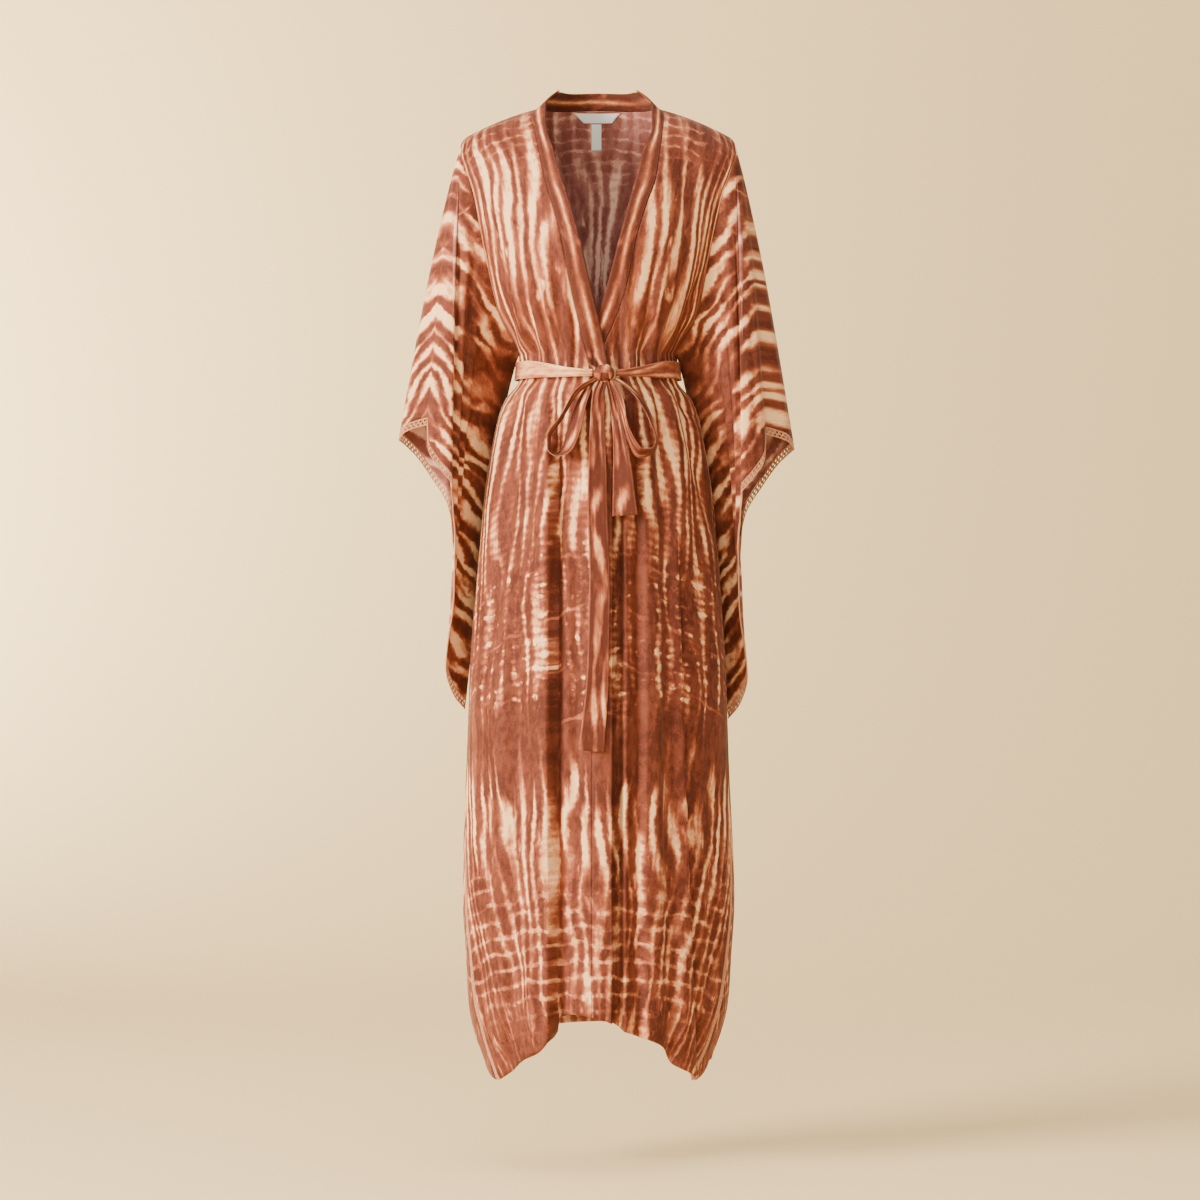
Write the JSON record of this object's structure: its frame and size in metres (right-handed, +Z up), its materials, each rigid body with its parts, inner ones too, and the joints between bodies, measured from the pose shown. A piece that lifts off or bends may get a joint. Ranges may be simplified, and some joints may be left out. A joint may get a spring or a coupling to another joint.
{
  "type": "kimono coat",
  "caption": "Long open-fronted kimono coat with wide sleeves, lace at the cuffs and lower side seams, and a bow-tied belt; worn form, open inside.",
  "frame": {"origin": "middle of the neck opening, level with the shoulder seams", "axes": "+Z up towards the head, -Y out of the front opening, +X towards the wearer's left"},
  "size_m": [0.5434, 0.2534, 1.3547],
  "materials": {
    "cloth": "matte",
    "band": "matte",
    "belt": "matte",
    "lace": "matte",
    "label": "matte"
  },
  "bodies": {
    "root": {"back": "cloth", "front_right": "cloth", "front_left": "cloth", "sleeve_right": "cloth", "sleeve_left": "cloth", "cuff_lace_right": "lace", "cuff_lace_left": "lace", "side_lace_right": "lace", "side_lace_left": "lace", "neckband_right": "band", "neckband_left": "band", "neckband_back": "band", "belt_waist": "belt", "belt_knot": "belt", "bow_loop_right": "belt", "bow_loop_left": "belt", "belt_tail_right": "belt", "belt_tail_left": "belt", "label": "label", "size_tag": "label"}
  },
  "joints": []
}
